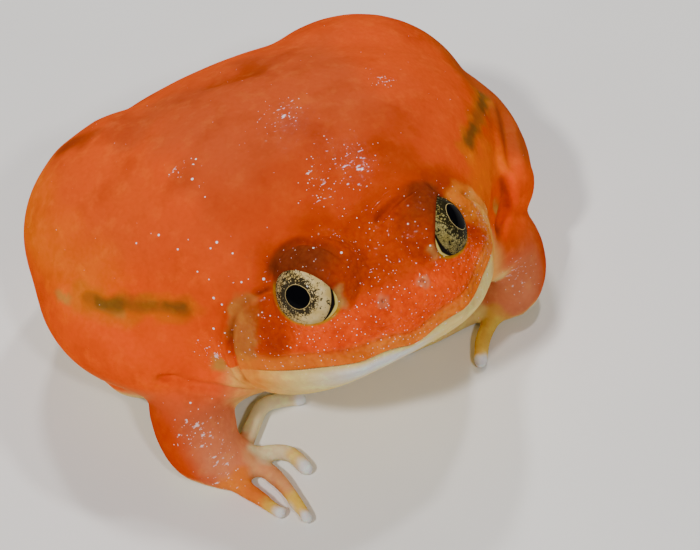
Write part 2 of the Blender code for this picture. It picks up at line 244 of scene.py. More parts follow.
@dataclass(frozen=True)
class EyeSeat:
    """Where an eyeball sits, which way it looks, how its lids open and how its iris is marked.

    place is for the frog's left. out and up turn and lift the opening by degrees; look and iris are
    measured from its middle. holds gives how firmly skin is laid on, from the lids' edge and by height.
    """

    side: Side
    out: float
    up: float
    look: Span
    iris: Point
    pupil: Span
    net: float = 0.0
    shade: Point = (1.0, 1.0, 1.0)
    brow: float = 0.92
    place: Point = (7.9, 8.8, 29.2)
    dome_shift: Point = (0.0, 0.2, 0.2)
    radius: float = 5.4
    half_width: float = 4.4
    half_height: float = 3.12
    margin: float = 0.12
    lid: float = 0.5
    lid_rounding: float = 0.45
    tuck: float = 0.7
    tuck_span: Span = (-0.22, 0.02)
    holds: tuple[tuple[float, Span, Span], ...] = ((1.0, (2.6, 0.7), (3.2, 2.2)), (0.8, (6.5, 4.0), (1.6, 1.1)))

    def centre(self) -> Array:
        """The eyeball's centre in the frog's frame."""
        return np.array(self.place) * (self.side.value, 1, 1)

    def axes(self) -> tuple[Array, Array, Array]:
        """The directions forward along the eye, up along it, and out of it."""
        turn, lift = math.radians(self.out), math.radians(self.up)
        flat = np.array((self.side.value * math.sin(turn), -math.cos(turn), 0.0))
        out = flat * math.cos(lift) + np.array((0.0, 0.0, math.sin(lift)))
        ahead = np.array((-self.side.value * math.cos(turn), -math.sin(turn), 0.0))
        above = np.cross(ahead, out)
        return ahead, above * np.sign(above[2]), out

    def rim(self, where: Array) -> tuple[Array, Array, Array]:
        """How each place lies to the lids' opening.

        Args:
            where: places in the frog's frame.

        Returns:
            Distance outside the lids' edge along the eyeball, height above the eye's centre line,
            and distance from the eyeball's centre.
        """
        ray = where - self.centre()
        far = np.linalg.norm(ray, axis=1) + TINY
        u, v, w = (ray @ axis / far for axis in self.axes())
        flat = np.hypot(u, v) + TINY
        wide, tall = self.radius / self.half_width, self.radius / self.half_height
        opening = np.hypot(u / flat * wide, v / flat * tall)
        edge = (np.arctan2(flat, w) - np.arcsin(1.0 / opening)) * self.radius
        return edge, v * self.radius, far

    def close_lids(self, where: Array) -> Array:
        """Moves the skin round the eyeball so that it lies on it as two thin lids."""
        edge, _, far = self.rim(where)
        ray = (where - self.centre()) / far[:, None]
        grown = 1.0 - np.exp(-np.maximum(edge, 0.0) / self.lid_rounding)
        lid = self.radius + self.margin + self.lid * grown
        under = self.radius - self.tuck
        near = np.where(edge > 0, lid, under + (lid - under) * ramp(*self.tuck_span, edge))
        hold = [share * ramp(*span, edge) * ramp(*height, far - self.radius) for share, span, height in self.holds]
        reach = near * np.max(hold, axis=0) + far * (1 - np.max(hold, axis=0))
        return self.centre() + ray * reach[:, None]


@dataclass(frozen=True)
class Mouth:
    """The line of the mouth, which falls by slope to the back, dips in the middle and rises at its ends.

    relief gives places over that line, each with its width and how far it stands out.
    """

    height: float = 23.3
    slope: float = 0.43
    dip: float = 1.3
    dip_width: float = 2.6
    lift: float = 0.6
    left_lift: float = 1.4
    end: float = 9.6
    floor: float = 14.0
    lip_edge: float = 2.4
    relief: tuple[Point, ...] = ((0.5, 0.4, 0.22), (0.0, 0.14, -0.45), (-0.7, 0.6, -0.12), (2.4, 0.2, -0.12))

    def over(self, where: Array) -> Array:
        """The height of each place over the line."""
        x, y, z = where.T
        ends = self.lift * ramp(7.0, 13.0, np.abs(x)) + self.left_lift * ramp(7.0, 14.0, x)
        return z - (self.height - self.slope * y - self.dip * bell(x, self.dip_width) + ends)

    def front(self, where: Array, fade: float) -> Array:
        """1 along the mouth, fading to 0 over that many millimetres at its ends."""
        return ramp(self.end, self.end - fade, where[:, 1]) * (where[:, 2] > self.floor)

    def rise(self, where: Array) -> Array:
        """How far the relief moves each place along its normal."""
        over = self.over(where)
        return self.front(where, 1.4) * sum(rise * bell(over - at, wide) for at, wide, rise in self.relief)


@dataclass(frozen=True)
class Nostrils:
    """The two nostrils, each a small pit across a low mound."""

    place: Point = (2.9, 1.5, 30.0)
    mound: float = 0.38
    mound_width: float = 0.95
    pit: float = 0.95
    pit_width: float = 0.28
    pit_shift: float = 0.12
    pit_squash: Point = (1.0, 1.0, 1.6)

    def gap(self, where: Array) -> Array:
        """The distance of each place to the nearer nostril."""
        return np.min([span_to(where, spot) for spot in self._spots()], axis=0)

    def rise(self, where: Array) -> Array:
        """How far mounds and pits move each place along its normal."""
        total = np.zeros(len(where))
        for side, spot in zip(Side, self._spots()):
            pit = span_to((where - spot) * self.pit_squash, (-self.pit_shift * side.value, 0, 0))
            total += self.mound * bell(span_to(where, spot), self.mound_width) - self.pit * bell(pit, self.pit_width)
        return total

    def _spots(self) -> list[Array]:
        """The places of both nostrils."""
        return [np.array(self.place) * (side.value, 1, 1) for side in Side]


class Tone(Enum):
    """The colours of the frog's zones and eyes, in linear light, with painted shade and painted glints among them.
    """

    BACK = (0.70, 0.074, 0.008)
    BACK_DULL = (0.50, 0.080, 0.022)
    FLANK = (0.90, 0.082, 0.0)
    AMBER = (0.95, 0.155, 0.002)
    CROWN = (0.47, 0.042, 0.003)
    SHADE = (0.40, 0.072, 0.016)
    SNOUT = (0.96, 0.074, 0.0)
    BROW = (0.17, 0.028, 0.008)
    LID = (0.34, 0.034, 0.006)
    CHEEK = (0.58, 0.044, 0.001)
    LIP = (0.80, 0.19, 0.016)
    CREAM = (0.84, 0.62, 0.22)
    JAW = (0.92, 0.36, 0.06)
    WHITE = (0.76, 0.74, 0.72)
    BUTTER = (0.80, 0.50, 0.075)
    IVORY = (0.80, 0.70, 0.42)
    TIP = (0.74, 0.75, 0.78)
    ARM = (0.64, 0.155, 0.060)
    ARM_OUT = (0.60, 0.050, 0.001)
    FOREARM = (0.76, 0.22, 0.095)
    ROSE = (0.78, 0.36, 0.15)
    MARK = (0.16, 0.078, 0.018)
    SPOT = (0.46, 0.27, 0.05)
    OCHRE = (0.60, 0.155, 0.006)
    HAZEL = (0.50, 0.150, 0.028)
    RUST = (0.42, 0.036, 0.003)
    # Painted shade in the creases of the rump and the neck.
    BROWN = (0.20, 0.030, 0.012)
    # Painted shade in the folds and along the upper lids' edges.
    CREASE = (0.22, 0.024, 0.004)
    PALE = (0.72, 0.24, 0.11)
    CORNER = (0.50, 0.36, 0.10)
    RIM = (0.36, 0.20, 0.012)
    DARK = (0.030, 0.008, 0.004)
    # Painted highlights: glints on drops and beads of water, and streaks of sheen.
    DROP_GLINT = (0.95, 0.86, 0.82)
    BEAD_GLINT = (0.97, 0.92, 0.89)
    STREAK = (0.95, 0.82, 0.84)
    IRIS = (0.66, 0.50, 0.23)
    IRIS_GOLD = (0.56, 0.39, 0.13)
    IRIS_DIM = (0.30, 0.21, 0.07)
    IRIS_NET = (0.008, 0.006, 0.005)
    IRIS_EDGE = (0.006, 0.004, 0.004)
    EYE_CORNER = (0.66, 0.52, 0.13)
    PUPIL_RING = (0.80, 0.60, 0.24)
    PUPIL = (0.002, 0.002, 0.003)


class Paint:
    """A colour for each place, laid on in layers."""

    def __init__(self, count: int, ground: Tone) -> None:
        """Starts with one tone all over."""
        self.tint = np.tile(np.array(ground.value), (count, 1))

    def lay(self, tone: Tone, share: Array) -> None:
        """Lays a tone over the tint, by its share at each place."""
        self.tint = self.tint * (1 - share[:, None]) + np.array(tone.value) * share[:, None]


@dataclass(frozen=True)
class Stain:
    """A patch of colour with a ragged edge along a line on the skin."""

    tone: Tone
    line: Path3
    width: float
    fade: float
    strength: float
    ragged: float = 0.3

    def share(self, where: Array) -> Array:
        """How strongly the stain covers each place."""
        gap, _ = self.line.reach(where)
        grain, seed = 1.6 * self.fade + 0.8, len(self.line.points) + 3
        gap = gap + self.ragged * self.fade * wander(where, grain, seed)
        return self.strength * ramp(self.width + self.fade, self.width, gap)


@dataclass(frozen=True)
class Skin:
    """The frog's one skin, made from copies of the flesh solids and then sculpted and painted."""

    seats: tuple[EyeSeat, ...]
    mouth: Mouth = Mouth()
    nostrils: Nostrils = Nostrils()
    voxel: float = 0.46
    most_triangles: int = 190_000
    swell: float = 0.22
    hand_swell: float = 0.1
    socket_room: float = 0.5
    outer_fingers: float = -15.0
    thinning: float = 0.22
    thin_span: Span = (6.0, 4.0)
    head_end: float = 14.0
    head_floor: float = 17.0
    sharp_folds: int = 3
    floor_span: Span = (0.0, 0.5)
    dry: float = 0.06
    head_damp: float = 0.44
    sheen_damp: float = 0.8
    dome_dryness: float = 0.55
    glint_bead_peak: float = 0.6
    glint_bead_width: float = 1.7

    def build(self) -> Object:
        """Makes the skin and returns its object."""
        nodes = [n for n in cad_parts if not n.startswith("eye_")]
        skin = self._gather(nodes)
        self._soften(skin)
        self._refine(skin)
        self._sculpt(skin)
        self._lighten(skin)
        self._paint(skin)
        skin.data.materials.clear()
        skin.data.materials.append(WetSkin().material())
        skin.data.shade_smooth()
        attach(skin, "root")
        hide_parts(*nodes)
        return skin

    def _gather(self, nodes: Sequence[str]) -> Object:
        """Joins swollen copies of the solids, fills the eye sockets and remeshes them as one."""
        copies = []
        for name in nodes:
            ends = name.startswith(("hand", "foot"))
            mesh = swollen_copy(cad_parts[name].data, self.hand_swell if ends else self.swell)
            if name.startswith("hand"):
                self._thin_fingers(mesh)
            piece = bpy.data.objects.new("skin_" + name, mesh)
            bpy.context.collection.objects.link(piece)
            copies.append(piece)
        for seat in self.seats:
            copies.append(sphere(seat.centre(), seat.radius + self.socket_room, segments=40, rings=24))
        choose(copies)
        bpy.ops.object.join()
        skin = bpy.context.object
        skin.name = "skin"
        skin.data.name = "skin"
        finish_modifier(skin, "REMESH", mode="VOXEL", voxel_size=self.voxel * MM, use_smooth_shade=True)
        keep_largest(skin)
        return skin

    def _thin_fingers(self, mesh: bpy.types.Mesh) -> None:
        """Draws in the ends of the two outer fingers of the right hand, so that they stay apart."""
        for vert in mesh.vertices:
            x, y, _ = Row.take(np.array(vert.co))
            if x < self.outer_fingers:
                vert.co -= vert.normal * self.thinning * MM * float(ramp(*self.thin_span, y))

    def _soften(self, skin: Object) -> None:
        """Smooths the body freely, fingers, toes and lips only a little, and the right flank most."""
        x, y, z = points_of(skin).T
        body = ramp(12.0, 19.0, y) * ramp(5.0, 9.0, z)
        flank = ramp(-17.0, -21.0, x) * ramp(15.0, 20.0, y) * ramp(9.0, 12.0, z)
        self._smooth(skin, 0.25 + 0.75 * body, 10, factor=0.6, iterations=26)
        self._smooth(skin, flank, 4, factor=0.7, iterations=160)
        finish_modifier(skin, "SMOOTH", factor=0.4, iterations=3)

    @staticmethod
    def _smooth(skin: Object, strength: Array, steps: int, **settings: float) -> None:
        """Smooths each vertex by its strength, which is rounded to so many steps."""
        group = skin.vertex_groups.new(name="strength")
        levels = np.round(strength * steps) / steps
        for level in np.unique(levels[levels > 0]):
            group.add(np.nonzero(levels == level)[0].tolist(), float(level), "REPLACE")
        finish_modifier(skin, "SMOOTH", vertex_group=group.name, **settings)
        skin.vertex_groups.clear()

    def _refine(self, skin: Object) -> None:
        """Divides the faces of the head, and again those of lids, mouth, nostrils and sharp folds."""
        where = points_of(skin)
        self._divide(skin, (where[:, 1] < self.head_end) & (where[:, 2] > self.head_floor))
        where = points_of(skin)
        wanted = (np.abs(self.mouth.over(where)) < 0.7) & (where[:, 1] < self.mouth.end + 1.0)
        for fold in FOLDS[: self.sharp_folds]:
            wanted |= fold.line.reach(where)[0] < 0.8
        for seat in self.seats:
            edge, _, far = seat.rim(where)
            wanted |= (np.abs(edge) < 1.0) & (far < 9.0)
        wanted |= self.nostrils.gap(where) < 1.5
        self._divide(skin, wanted)

    @staticmethod
    def _divide(skin: Object, wanted: Array) -> None:
        """Divides each face whose corners are all wanted."""
        choose([skin])
        bpy.ops.object.mode_set(mode="EDIT")
        bpy.ops.mesh.select_all(action="DESELECT")
        bpy.ops.object.mode_set(mode="OBJECT")
        skin.data.vertices.foreach_set("select", wanted)
        skin.data.update()
        bpy.ops.object.mode_set(mode="EDIT")
        bpy.ops.mesh.select_mode(type="VERT")
        bpy.ops.mesh.select_mode(type="FACE")
        bpy.ops.mesh.subdivide(number_cuts=1, smoothness=0.6)
        bpy.ops.object.mode_set(mode="OBJECT")

    def _sculpt(self, skin: Object) -> None:
        """Lays the lids on the eyeballs and carves the mouth, nostrils and folds."""
        where = points_of(skin)
        for seat in self.seats:
            where = seat.close_lids(where)
        move_to(skin, where)
        rise = self.mouth.rise(where) + self.nostrils.rise(where)
        for fold in FOLDS:
            rise += fold.height(where)
        where = where + normals_of(skin) * (rise * ramp(*self.floor_span, where[:, 2]))[:, None]
        where[:, 2] = np.maximum(where[:, 2], 0.0)
        move_to(skin, where)

    def _lighten(self, skin: Object) -> None:
        """Collapses edges where the skin is nearly flat, until it has most_triangles."""
        skin.data.calc_loop_triangles()
        count = len(skin.data.loop_triangles)
        if count > self.most_triangles:
            finish_modifier(skin, "DECIMATE", ratio=self.most_triangles / count)

    def _paint(self, skin: Object) -> None:
        """Works out each place's colour and painted shade, how grainy and damp it is, and its painted glints."""
        where = points_of(skin)
        _, y, z = where.T
        sway = wander(where, 9.0, 5)
        paint = Paint(len(where), Tone.FLANK)
        self._paint_body(paint, where, normals_of(skin), sway)
        domes = self._paint_lids(paint, where, sway)
        self._paint_face(paint, where)
        for stain in STAINS:
            paint.lay(stain.tone, stain.share(where))
        # Painted shadow along each fold.
        for fold in FOLDS:
            paint.lay(Tone.CREASE, fold.shadow(where))
        # Damp gives the coat its gloss and sets how many painted glints and streaks of sheen lie there.
        damp = self.dry + self.head_damp * ramp(15, 10, y) * ramp(20, 23, z)
        for spot, size in SHEEN:
            damp = np.maximum(damp, self.sheen_damp * bell(span_to(where, spot), size))
        nearest = np.min([span_to(where, spot) for spot in GLINT_BEAD_PLACES], axis=0)
        write_attribute(skin, "tint", paint.tint)
        write_attribute(skin, "grain", 0.25 + 0.75 * ramp(14, 9, y) * ramp(22, 25, z))
        write_attribute(skin, "damp", damp * (1 - self.dome_dryness * domes))
        write_attribute(skin, "glint_bead_share", self.glint_bead_peak * bell(nearest, self.glint_bead_width))

    def _paint_body(self, paint: Paint, where: Array, normal: Array, sway: Array) -> None:
        """Paints the broad zones, whose borders sway."""
        side, y, z = where.T
        x, up, out = np.abs(side), normal[:, 2], normal[:, 0] * np.sign(side)
        over, top = self.mouth.over(where), ramp(0.15, 0.85, up)
        paint.lay(Tone.AMBER, ramp(-11, -23, side + 2.0 * sway) * ramp(24, 31, y) * ramp(20, 26, z))
        paint.lay(Tone.BACK, 0.9 * top * ramp(22, 33, z + 1.5 * sway))
        paint.lay(Tone.BACK_DULL, 0.75 * top * ramp(30, 38, z) * ramp(20, 9, x + 2.0 * sway) * ramp(14, 24, y))
        paint.lay(Tone.CROWN, 0.55 * ramp(30, 20, y + 2.0 * sway) * ramp(32, 36, z) * ramp(20, 12, x))
        paint.lay(Tone.CROWN, ramp(17, 12, y + sway) * ramp(24, 30, z))
        paint.lay(Tone.SHADE, 0.85 * ramp(26.5, 31, side) * ramp(15, 20, z) * ramp(17, 23, y))
        paint.lay(Tone.CHEEK, ramp(15, 12, y) * ramp(19, 21, z) * ramp(10, 13, x) * ramp(30, 28, z))
        paint.lay(Tone.SNOUT, ramp(8, 4, y) * ramp(31.5, 29, z) * ramp(22, 24, z))
        paint.lay(Tone.LIP, 0.8 * ramp(3.4, 1.6, over + 0.15 * sway) * ramp(14, 11, y) * ramp(12, 15, z))
        belly = ramp(0.0, -0.5, up) * ramp(16, 8, z)
        jaw = ramp(0.05, -0.1, over) * ramp(15.5, 12.5, y) * ramp(22.5, 18.5, x) * ramp(6.5, 8.5, z)
        throat = jaw * ramp(-0.3, -1.5, over) * ramp(-6.5, -2.5, over)
        arm = ramp(16.0, 9.0, z) * ramp(26.5, 22.5, y) * (1 - belly) * (1 - jaw)
        paint.lay(Tone.CREAM, belly)
        paint.lay(Tone.CREAM, jaw)
        paint.lay(Tone.JAW, jaw * ramp(14.0, 18.0, x))
        paint.lay(Tone.WHITE, throat * ramp(-15, -7, side) * ramp(5, -2, side))
        paint.lay(Tone.ARM, arm)
        paint.lay(Tone.FOREARM, arm * ramp(10.0, 5.0, z + sway) * ramp(0.5, -0.3, out))
        paint.lay(Tone.ARM_OUT, arm * ramp(0.1, 0.85, out) * ramp(2.0, 4.0, z))

    def _paint_lids(self, paint: Paint, where: Array, sway: Array) -> Array:
        """Paints lids, dark domes and painted shade at upper lid edges; returns how far each place lies on a dome.
        """
        domes = np.zeros(len(where))
        for seat in self.seats:
            edge, high, far = seat.rim(where)
            ahead, near = (where - seat.centre()) @ seat.axes()[0], ramp(10.5, 9.0, far)
            dome = ramp(7.2, 6.2, span_to(where, seat.centre() + seat.dome_shift))
            upper = dome * ramp(6.0, 2.2, ahead) * ramp(-0.6, 1.4, high)
            brow = dome * ramp(4.4, 0.4, ahead) * ramp(0.2, 1.6, high)
            paint.lay(Tone.LID, 0.8 * upper * ramp(5.8, 4.0, edge))
            paint.lay(Tone.BROW, seat.brow * brow * ramp(4.8, 2.6, edge + 0.3 * sway))
            paint.lay(Tone.RIM, 0.9 * near * bell(edge - 0.05, 0.2) * ramp(1.0, -0.6, high))
            # Painted shade where the upper lid meets the eyeball.
            paint.lay(Tone.CREASE, 0.8 * near * bell(edge - 0.05, 0.25) * ramp(-0.4, 0.8, high))
            domes = np.maximum(domes, upper * ramp(5.8, 4.4, edge))
        return domes

    def _paint_face(self, paint: Paint, where: Array) -> None:
        """Paints the nostrils, the lip's upper edge and the slit of the mouth."""
        gap, over = self.nostrils.gap(where), self.mouth.over(where)
        paint.lay(Tone.PALE, 0.6 * ramp(1.2, 0.4, gap + 0.3 * wander(where, 1.6, 9)))
        paint.lay(Tone.DARK, 0.8 * bell(gap, 0.24))
        paint.lay(Tone.RUST, 0.4 * bell(over - self.mouth.lip_edge, 0.18) * self.mouth.front(where, 2.0))
        paint.lay(Tone.DARK, 0.7 * bell(over, 0.09) * self.mouth.front(where, 1.0))


def swollen_copy(mesh: bpy.types.Mesh, swell: float) -> bpy.types.Mesh:
    """A merged copy of a CAD mesh, grown along its normals by swell millimetres."""
    bm = bmesh.new()
    bm.from_mesh(mesh)
    bmesh.ops.remove_doubles(bm, verts=bm.verts, dist=TINY)
    bm.normal_update()
    moves = [v.normal * swell * MM for v in bm.verts]
    for vert, move in zip(bm.verts, moves):
        vert.co += move
    made = bpy.data.meshes.new("skin_part")
    bm.to_mesh(made)
    bm.free()
    return made


def keep_largest(obj: Object) -> None:
    """Drops all loose parts of obj but the one with most vertices."""
    bm = bmesh.new()
    bm.from_mesh(obj.data)
    left, groups = set(bm.verts), []
    while left:
        group, todo = set(), [left.pop()]
        while todo:
            vert = todo.pop()
            group.add(vert)
            fresh = {other for edge in vert.link_edges for other in edge.verts} & left
            left -= fresh
            todo.extend(fresh)
        groups.append(group)
    groups.sort(key=len)
    bmesh.ops.delete(bm, geom=[vert for group in groups[:-1] for vert in group], context="VERTS")
    bm.to_mesh(obj.data)
    bm.free()


Value = Socket | Node | float | Point


class Nodes:
    """Adds and links the nodes of one material."""

    def __init__(self, name: str) -> None:
        """Starts an empty material with its output and object coordinates in metres."""
        self.result = bpy.data.materials.new(name)
        self.result.use_nodes = True
        self.tree = self.result.node_tree
        self.tree.nodes.clear()
        self.output = self.add("OutputMaterial")
        self.where = self.add("TexCoord").outputs["Object"]

    def add(self, kind: str, *inputs: Value | None, **properties: object) -> Node:
        """Adds a node, sets its properties and feeds its inputs in order, without those that are None."""
        node = self.tree.nodes.new("ShaderNode" + kind)
        for name, value in properties.items():
            setattr(node, name, value)
        for i, value in enumerate(inputs):
            if value is not None:
                self.feed(node, i, value)
        return node

    def feed(self, node: Node, socket: str | int, value: Value) -> None:
        """Links a socket to another node's output, or sets it."""
        target = node.inputs[socket]
        if isinstance(value, Socket):
            self.tree.links.new(value, target)
        elif isinstance(value, Node):
            self.tree.links.new(value.outputs[0], target)
        else:
            target.default_value = value

    def math(self, operation: str, *values: Value) -> Socket:
        """A Math node's output."""
        return self.add("Math", *values, operation=operation).outputs[0]

    def times(self, first: Value, *others: Value) -> Socket:
        """The product of all values."""
        for other in others:
            first = self.math("MULTIPLY", first, other)
        return first

    def mix(self, share: Value, first: Value, second: Value, blend: str = "MIX") -> Socket:
        """A colour mix's output."""
        node = self.add("Mix", data_type="RGBA", blend_type=blend)
        for place, value in ((0, share), (6, first), (7, second)):
            if isinstance(value, tuple):
                value = (*value, 1.0)
            self.feed(node, place, value)
        return node.outputs[2]

    def span(self, value: Value, low: float, high: float, to_low: float = 0.0,
             to_high: float = 1.0) -> Socket:
        """A smooth step from to_low at low to to_high at high."""
        return self.add(
            "MapRange", value, low, high, to_low, to_high, interpolation_type="SMOOTHSTEP"
        ).outputs[0]

    def noise(self, scale: float, detail: float = 2.0, rough: float = 0.5,
              where: Value | None = None) -> Node:
        """A noise texture, whose first output is its value."""
        return self.add("TexNoise", self.where if where is None else where, None, scale, detail, rough)

    def cells(self, scale: float, feature: str = "F1", where: Value | None = None) -> Node:
        """A texture of random cells."""
        return self.add("TexVoronoi", self.where if where is None else where, None, scale, feature=feature)

    def attribute(self, name: str, output: str = "Fac") -> Socket:
        """The value of an attribute of the mesh."""
        return self.add("Attribute", attribute_name=name).outputs[output]

    def bump(self, height: Value, distance: float, strength: float) -> Node:
        """A bump from a height."""
        node = self.add("Bump")
        for socket, value in (("Strength", strength), ("Distance", distance), ("Height", height)):
            self.feed(node, socket, value)
        return node

    def finish(self, sockets: dict[str, Value]) -> bpy.types.Material:
        """Ends the material in a Principled shader, which has no gloss but its coat's."""
        shader = self.add("BsdfPrincipled")
        for name, value in {"IOR": 1.0, **sockets}.items():
            self.feed(shader, name, value)
        self.feed(self.output, "Surface", shader)
        return self.result


@dataclass(frozen=True)
class GlintDrops:
    """Pale dots of painted glint on drops of water, one in each of some random cells. Sizes are in cells.

    luck is how far a cell's random number is past the share of wet cells where it is dry and wet.
    """

    scale: float
    least: float
    spread: float
    edge: Span
    luck: Span

    def mask(self, n: Nodes, cells: Node, share: Value) -> Socket:
        """1 on the painted glint dots of those cells, of which about that share is wet."""
        chance = n.add("SeparateColor", cells.outputs["Color"])
        size = n.math("MULTIPLY_ADD", chance.outputs[1], self.spread, self.least)
        kept = n.span(n.math("SUBTRACT", chance.outputs[0], share), *self.luck)
        return n.times(n.span(n.math("SUBTRACT", cells.outputs["Distance"], size), *self.edge), kept)


@dataclass(frozen=True)
class WetSkin:
    """Damp frog skin: tinted by zone, mottled, with granules on the head, fine pores elsewhere and painted glints.

    The single numbers are waves or cells for each metre.
    """

    mottle: float = 130.0
    patch: float = 480.0
    blotch: float = 260.0
    granule: float = 1800.0
    pore: float = 900.0
    wrinkle: float = 950.0
    streak: float = 1700.0
    glint_drops: GlintDrops = GlintDrops(2900.0, 0.08, 0.14, (0.04, -0.03), (-0.03, -0.05))
    glint_beads: GlintDrops = GlintDrops(1150.0, 0.12, 0.10, (0.03, -0.03), (0.0, -0.03))
    drawn_out: Point = (0.45, 1.0, 1.0)
    darker: Point = (0.66, 0.52, 0.50)
    lighter: Point = (1.14, 1.55, 1.3)

    def material(self) -> bpy.types.Material:
        """Builds the material."""
        n = Nodes("wet_skin")
        grain, damp = n.attribute("grain"), n.attribute("damp")
        mottle = n.noise(self.mottle, 3.0)
        granules = n.cells(self.granule, "SMOOTH_F1").outputs["Distance"]
        raised = n.times(n.span(granules, 0.0, 0.75, 1.0, 0.0), grain)
        glint_drops, streak = n.cells(self.glint_drops.scale), self._sheen_streaks(n, grain, damp)
        colour = self._mottled(n, mottle, granules, raised, grain)
        # Painted highlights: pale glint dots, larger glint beads and streaks of sheen laid into the colour.
        colour = n.mix(self.glint_drops.mask(n, glint_drops, n.times(damp, 0.75)), colour, Tone.DROP_GLINT.value)
        glint_beads = self.glint_beads.mask(n, n.cells(self.glint_beads.scale), n.attribute("glint_bead_share"))
        colour = n.mix(glint_beads, colour, Tone.BEAD_GLINT.value)
        colour = n.mix(n.times(streak, 0.7), colour, Tone.STREAK.value)
        film = n.math("MAXIMUM", streak, n.times(n.span(glint_drops.outputs["Distance"], 0.42, 0.25), grain))
        pores = n.noise(self.pore, 4.0, 0.62)
        wrinkles = n.times(n.noise(self.wrinkle), 3.0)
        return n.finish({
            "Base Color": colour,
            "Roughness": n.span(mottle, 0.3, 0.7, 0.30, 0.46),
            "Normal": n.bump(n.math("ADD", raised, pores), 0.12 * MM, 0.6),
            "Subsurface Weight": 0.18,
            "Subsurface Radius": (1.0, 0.28, 0.08),
            "Subsurface Scale": 1.2 * MM,
            "Coat Weight": n.times(damp, n.math("MULTIPLY_ADD", film, 1.15, 0.02)),
            "Coat Roughness": 0.05,
            "Coat Normal": n.bump(n.math("ADD", raised, wrinkles), 0.06 * MM, 1.0),
        })

    def _mottled(self, n: Nodes, mottle: Value, granules: Value, raised: Value, grain: Value) -> Value:
        """The tint with its mottle, blotches and granules, which are given by distance and height."""
        tint = n.attribute("tint", "Color")
        darker = n.mix(1.0, tint, self.darker, "MULTIPLY")
        lighter = n.mix(1.0, tint, self.lighter, "MULTIPLY")
        colour = n.mix(n.span(mottle, 0.44, 0.74, 0.0, 0.5), tint, darker)
        colour = n.mix(n.span(n.noise(self.patch, 4.0, 0.6), 0.48, 0.72, 0.0, 0.5), colour, lighter)
        blotch = n.times(n.span(n.noise(self.blotch, 4.0, 0.65), 0.46, 0.66, 0.0, 0.5), grain)
        colour = n.mix(blotch, colour, darker)
        colour = n.mix(n.times(raised, 0.3), colour, lighter)
        return n.mix(n.times(n.span(granules, 0.35, 0.75, 0.0, 0.35), grain), colour, darker)

    def _sheen_streaks(self, n: Nodes, grain: Value, damp: Value) -> Socket:
        """A mask of short painted streaks of sheen, drawn out across the frog, on the smooth damp skin."""
        drawn = n.add("VectorMath", n.where, self.drawn_out, operation="MULTIPLY")
        more = n.span(damp, 0.1, 0.8, 0.0, 0.095)
        streak = n.span(n.math("ADD", n.noise(self.streak, 2.0, 0.6, drawn), more), 0.69, 0.77)
        return n.times(streak, n.span(damp, 0.12, 0.3), n.span(grain, 0.3, 0.6, 1.0, 0.0))


